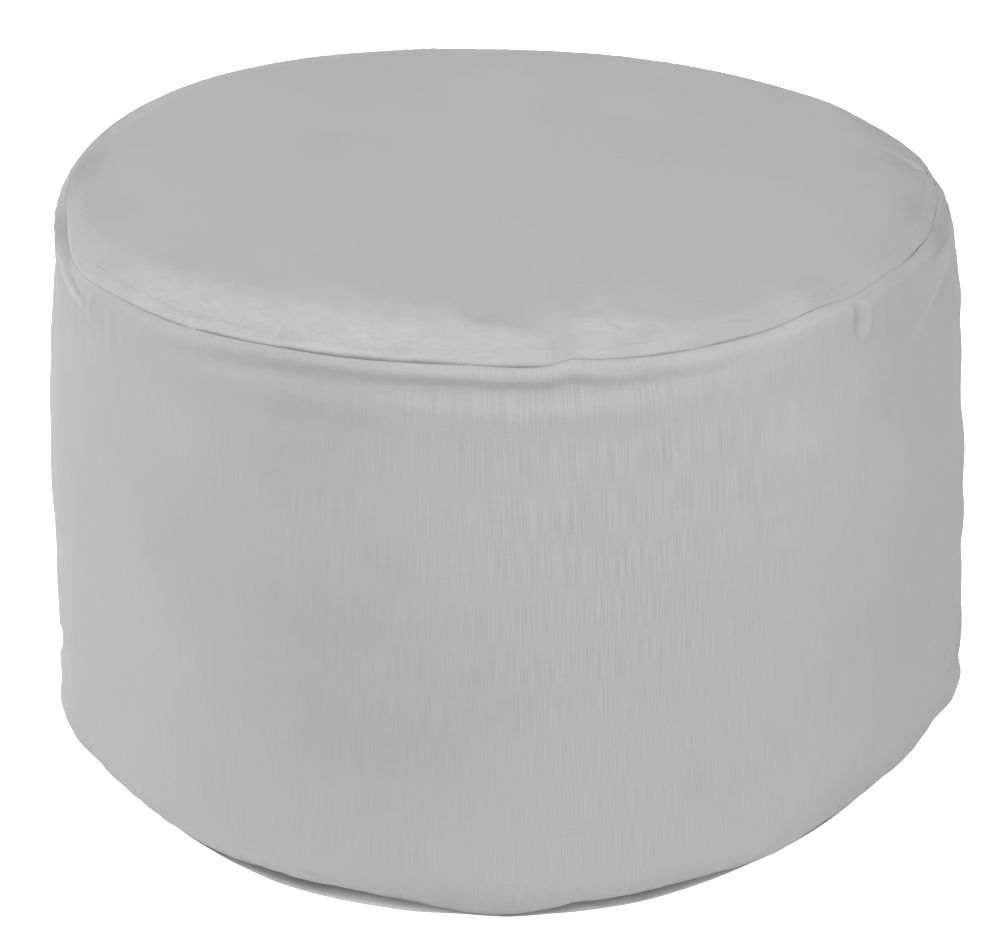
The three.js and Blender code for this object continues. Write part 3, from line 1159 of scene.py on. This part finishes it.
@dataclass(frozen=True)
class WovenCloth:
    """Matt plain-woven polyester: fine threads, uneven in thickness, in one light grey."""

    name: str
    grey: float
    threads: Threads
    spread: float = 0.14
    thread: float = 0.0005
    slub: float = 0.0006
    slub_length: float = 0.03
    slub_detail: float = 1.5
    slub_share: float = 1.0
    weft_detail: float = 2.0
    weft_share: float = 0.2
    mottles_per_metre: float = 9.0
    mottle_detail: float = 3.0
    mottle_share: float = 0.35
    roughness: float = 0.9
    specular: float = 0.25
    sheen: float = 0.15
    sheen_roughness: float = 0.45
    thread_relief: float = 0.00009
    # How much of the relief the standing threads, the crossing threads and the weave each make.
    relief_shares: Row = (0.8, 0.5, 0.5)
    # How much lighter each unit of painted light makes the grey.
    painted_light_lift: float = 0.09
    crimp: float = 0.0036
    crimp_detail: float = 1.0
    crimp_relief: float = 0.0004

    def material(self) -> bpy.types.Material:
        """Makes the material.

        A streaky noise stretched along the standing threads, a weaker one along the others and a
        broad mottle add up to how light the grey is, and the painted light and shade lift or lower it.
        Two sine waves a thread apart, with the streaks, make the relief, and small crimps rise where
        light is painted.

        Returns:
            The new material.
        """
        nodes = Nodes(self.name)
        cloth = nodes.add("UVMap", uv_map="cloth").outputs["UV"]
        along, across = 1.0 / self.slub_length, 1.0 / self.slub
        stands, crosses = (across, along, 1.0), (along, across, 1.0)
        if self.threads is Threads.ACROSS:
            stands, crosses = crosses, stands
        main = self.noise(nodes, cloth, stands, self.slub_detail)
        weft = self.noise(nodes, cloth, crosses, self.weft_detail)
        mottle = self.noise(nodes, cloth, (self.mottles_per_metre,) * 2 + (1.0,), self.mottle_detail)
        slub = nodes.add("Attribute", attribute_name="slub").outputs["Fac"]
        uneven = nodes.math("MULTIPLY_ADD", nodes.math("SUBTRACT", main, 0.5), slub, 0.5)
        shares = (self.slub_share, self.weft_share, self.mottle_share)
        tone = self.total(nodes, (uneven, weft, mottle), shares)
        # The light and shade painted onto each piece lift or lower the grey.
        painted_lightness = nodes.add("Attribute", attribute_name="fade").outputs["Fac"]
        lifted = nodes.math("MULTIPLY_ADD", painted_lightness, 0.5 * self.painted_light_lift / self.spread, tone)
        dark, light = ((*[self.grey * share] * 3, 1.0) for share in (1.0 - self.spread, 1.0 + self.spread))
        # In a colour mix, inputs 6 and 7 are the two colours and output 2 is the mixed one.
        mix = nodes.add("Mix", {0: lifted, 6: dark, 7: light}, data_type="RGBA", clamp_factor=False)

        relief = self.total(nodes, (main, weft, self.weave(nodes, cloth)), self.relief_shares)
        threads = nodes.add("Bump", {"Distance": self.thread_relief, "Height": relief})
        # Crimps rise where light is painted, up to 1.
        painted_lightening = nodes.math("ADD", painted_lightness, 0.0, clamp=True)
        crimp = self.noise(nodes, cloth, (1.0 / self.crimp,) * 3, self.crimp_detail)
        crimp = nodes.math("MULTIPLY", crimp, painted_lightening)
        bump = nodes.add("Bump", {
            "Distance": self.crimp_relief, "Height": crimp, "Normal": threads.outputs["Normal"],
        })
        nodes.feed(nodes.shader, {
            "Base Color": mix.outputs[2],
            "Normal": bump.outputs["Normal"],
            "Roughness": self.roughness,
            "Specular IOR Level": self.specular,
            "Sheen Weight": self.sheen,
            "Sheen Roughness": self.sheen_roughness,
        })
        return nodes.material

    def noise(self, nodes: Nodes, cloth: Socket, scale: Row, detail: float) -> Socket:
        """Adds a noise over the cloth's own u and v, stretched by scale.

        Args:
            nodes: The material's nodes.
            cloth: The socket that gives u and v.
            scale: Features in each metre along u, v and w.
            detail: How many finer layers the noise has.

        Returns:
            The noise's value, about one half.
        """
        place = nodes.add("Mapping", {"Vector": cloth, "Scale": scale}).outputs["Vector"]
        inputs = {"Vector": place, "Scale": 1.0, "Detail": detail}
        return nodes.add("TexNoise", inputs, noise_dimensions="2D").outputs["Fac"]

    def total(self, nodes: Nodes, values: tuple[Socket, ...], shares: Row) -> Socket:
        """Adds nodes for one half plus the sum of share * (value - one half).

        Args:
            nodes: The material's nodes.
            values: The values.
            shares: The share of each.

        Returns:
            The sum.
        """
        result = 0.5 - sum(0.5 * share for share in shares)
        for value, share in zip(values, shares):
            result = nodes.math("MULTIPLY_ADD", value, share, result)
        return result

    def weave(self, nodes: Nodes, cloth: Socket) -> Socket:
        """Adds the plain weave's relief: one half plus half of sin(u) sin(v), a thread apart.

        Args:
            nodes: The material's nodes.
            cloth: The socket that gives u and v.

        Returns:
            The relief, from 0 to 1.
        """
        split = nodes.add("SeparateXYZ", {0: cloth}).outputs
        turns = [nodes.math("MULTIPLY", split[axis], math.pi / self.thread) for axis in ("X", "Y")]
        product = nodes.math("MULTIPLY", *(nodes.math("SINE", value) for value in turns))
        return nodes.math("MULTIPLY_ADD", product, 0.5, 0.5)


# --- Studio ---


@dataclass(frozen=True)
class Softbox:
    """A square soft light: its name, the way to it from the bag, distance, side and power."""

    name: str
    azimuth: float
    elevation: float
    distance: float
    side: float
    watts: float

    def place(self, aim: Vector) -> bpy.types.Object:
        """Puts the light up, turned to the bag. Azimuth is degrees from +X towards +Y.

        Args:
            aim: Where it points, in metres.

        Returns:
            The light.
        """
        azimuth, elevation = math.radians(self.azimuth), math.radians(self.elevation)
        way = Vector((
            math.cos(azimuth) * math.cos(elevation),
            math.sin(azimuth) * math.cos(elevation),
            math.sin(elevation),
        ))
        light = bpy.data.lights.new(self.name, "AREA")
        light.size = self.side
        light.energy = self.watts
        lamp = put(self.name, light)
        lamp.location = aim + way * self.distance
        lamp.rotation_euler = (-way).to_track_quat("-Z", "Y").to_euler()
        return lamp


@dataclass(frozen=True)
class Studio:
    """A plain white floor and backdrop, soft light all round, and the camera."""

    aim: tuple[float, float, float] = (-6.3, 4.4, 141.3)
    distance: float = 1632.0
    elevation: float = 27.56
    roll: float = -1.21
    lens: float = 88.85
    sensor: float = 36.0
    floor_reach: float = 12.0
    floor_white: float = 0.9
    # How strongly the floor glows, at distances in metres from the middle of the bag's box.
    glow_places: Row = (0.252, 0.268, 0.9, 2.4)
    glow_values: Row = (0.0, 0.97, 0.97, 1.0)
    bounce_below: float = 0.002
    backdrop_height: float = 8.0
    backdrop_sides: int = 96
    lights: tuple[Softbox, ...] = (
        Softbox("front_softbox", -90.0, 46.0, 6.0, 4.0, 250.0),
        Softbox("top_softbox", 0.0, 88.0, 6.0, 4.0, 142.0),
        Softbox("left_back_softbox", 160.0, 20.0, 6.0, 4.0, 150.0),
        Softbox("left_softbox", -180.0, 25.0, 6.0, 4.0, 104.0),
        Softbox("right_softbox", -30.0, 25.0, 6.0, 4.0, 118.0),
    )

    def build(self) -> None:
        """Lays the floors, hangs the backdrop, puts up the lights and stands the camera."""
        self.lay_floor()
        # A second floor, just below the one that shows, throws light back at the bag.
        places = self.square(-self.bounce_below)
        self.flat_stage("bounce_floor", places, [(0, 1, 2, 3)], self.floor_white, seen=False)
        self.hang_backdrop()
        for light in self.lights:
            light.place(Vector(self.aim) * MM)
        world = bpy.data.worlds.new("dark_hall")
        world.use_nodes = True
        world.node_tree.nodes["Background"].inputs["Strength"].default_value = 0.0
        bpy.context.scene.world = world
        bpy.context.scene.view_settings.view_transform = "Standard"
        self.stand_camera()

    def lay_floor(self) -> None:
        """Makes the floor that shows, matt and near white, which lights nothing itself.

        Its glow runs in straight lines between the values at the distances given.
        """
        nodes = self.flat_stage("floor", self.square(0.0), [(0, 1, 2, 3)], self.floor_white)
        furthest = self.glow_places[-1]
        place = nodes.add("TexCoord").outputs["Object"]
        away = nodes.add("VectorMath", {0: place}, operation="LENGTH").outputs["Value"]
        glow = nodes.add("FloatCurve", {"Value": nodes.math("DIVIDE", away, furthest)})
        line = glow.mapping.curves[0]
        # The curve comes with two points; the rest are added, and then all are put in their places.
        for _ in self.glow_places[1:-1]:
            line.points.new(0.5, 0.5)
        for point, place_at, value in zip(line.points, self.glow_places, self.glow_values):
            point.location = (place_at / furthest, value)
            point.handle_type = "VECTOR"
        glow.mapping.update()
        nodes.feed(nodes.shader, {"Emission Strength": glow.outputs[0]})

    def square(self, height: float) -> list:
        """The corners of a square as wide as the floor, at a height, in metres."""
        reach = self.floor_reach
        return [(x * reach, y * reach, height) for x, y in ((-1, -1), (1, -1), (1, 1), (-1, 1))]

    def hang_backdrop(self) -> None:
        """Makes a round white wall at the floor's edge, which only the camera sees."""
        angle = np.arange(self.backdrop_sides) * 2.0 * math.pi / self.backdrop_sides
        ring = np.stack([np.cos(angle), np.sin(angle), np.zeros(len(angle))], axis=-1) * self.floor_reach
        upper = ring + np.array([0.0, 0.0, self.backdrop_height])
        here = np.arange(self.backdrop_sides)
        beside = (here + 1) % self.backdrop_sides
        faces = np.stack([beside, here, here + self.backdrop_sides, beside + self.backdrop_sides], axis=-1)
        places = np.vstack([ring, upper])
        self.flat_stage("backdrop", places.tolist(), faces.tolist(), grey=0.0, glow=1.0)

    def flat_stage(
        self, name: str, places: list, faces: list, grey: float, glow: float = 0.0, seen: bool = True
    ) -> Nodes:
        """Makes a piece of the studio, matt, with a white glow.

        Args:
            name: The piece's name, and its paint's.
            places: x, y and z of its corners, in metres.
            faces: The corners of each face.
            grey: How light its paint is.
            glow: How strongly it glows.
            seen: Whether only the camera sees it, or everything but the camera.

        Returns:
            Its paint's nodes.
        """
        mesh = bpy.data.meshes.new(name)
        mesh.from_pydata(places, [], faces)
        piece = put(name, mesh)
        nodes = Nodes(name + "_paint")
        nodes.feed(nodes.shader, {
            "Base Color": (grey, grey, grey, 1.0),
            "Roughness": 1.0,
            "Specular IOR Level": 0.0,
            "Emission Color": (1.0, 1.0, 1.0, 1.0),
            "Emission Strength": glow,
        })
        mesh.materials.append(nodes.material)
        piece.visible_camera = seen
        piece.visible_diffuse = piece.visible_glossy = piece.visible_shadow = not seen
        piece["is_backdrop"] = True
        return nodes

    def stand_camera(self) -> None:
        """Stands the camera in front, looking down at the aim, with a slight roll."""
        tilt = math.radians(self.elevation)
        back = Vector((0.0, -math.cos(tilt), math.sin(tilt)))
        data = bpy.data.cameras.new("camera")
        data.lens = self.lens
        data.sensor_width = self.sensor
        camera = put("camera", data)
        camera.location = (Vector(self.aim) + back * self.distance) * MM
        camera.rotation_mode = "QUATERNION"
        level = (-back).to_track_quat("-Z", "Y")
        camera.rotation_quaternion = level @ Quaternion((0.0, 0.0, 1.0), math.radians(self.roll))
        bpy.context.scene.camera = camera


# --- The whole bag ---


def axis_foot(low: Vector, high: Vector, columns: int = 96) -> Array:
    """The foot of the bag's axis: the pressed form's own box, laid on the middle of the frame's.

    Args:
        low: The frame's lowest corner, in metres.
        high: The frame's highest corner, in metres.
        columns: How many places round the form its box is taken from.

    Returns:
        x, y and z of the foot, in metres.
    """
    angle = np.arange(columns) * 360.0 / columns
    body = FilledBody()
    radii, heights = np.array(body.radii)[:, None], np.array(body.heights)[:, None]
    places = body.form.press(radii, heights, angle).reshape(-1, 3)[:, :2] * MM
    middle = (places.min(axis=0) + places.max(axis=0)) / 2.0
    frame_middle = np.array([low.x + high.x, low.y + high.y]) / 2.0
    return np.array([*(frame_middle - middle), low.z])


def dress(piece: bpy.types.Object, finish: WovenCloth, node: str) -> None:
    """Gives a piece its cloth, hangs it from the root body, and hides the frame's node it stands for.

    Args:
        piece: The finished piece.
        finish: The cloth it is made of.
        node: The frame's node that it replaces.
    """
    piece.data.materials.append(finish.material())
    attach(piece, "root")
    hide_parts(node)
    log.info("%s: %d faces, %s", piece.name, len(piece.data.polygons), finish.name)


def main() -> None:
    """Builds the bag's pieces in order, dresses them, and sets up the studio."""
    logging.basicConfig(level=logging.INFO, format="%(name)s: %(message)s")
    low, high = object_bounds()
    origin = axis_foot(low, high)
    log.info("axis foot at %.4f, %.4f, %.4f m", *origin)

    body = FilledBody().build(origin)
    dress(body, WovenCloth("side_band_cloth", 0.385, Threads.UPRIGHT), "filled_body")

    top = TopPanel().build(origin)
    cloth = WovenCloth("top_panel_cloth", 0.376, Threads.ACROSS, spread=0.06)
    dress(top, cloth, "top_panel")

    base = BasePanel().build(origin)
    dress(base, WovenCloth("base_panel_cloth", 0.376, Threads.ACROSS), "base_panel")

    Studio().build()
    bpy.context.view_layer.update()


if __name__ == "__main__":
    main()
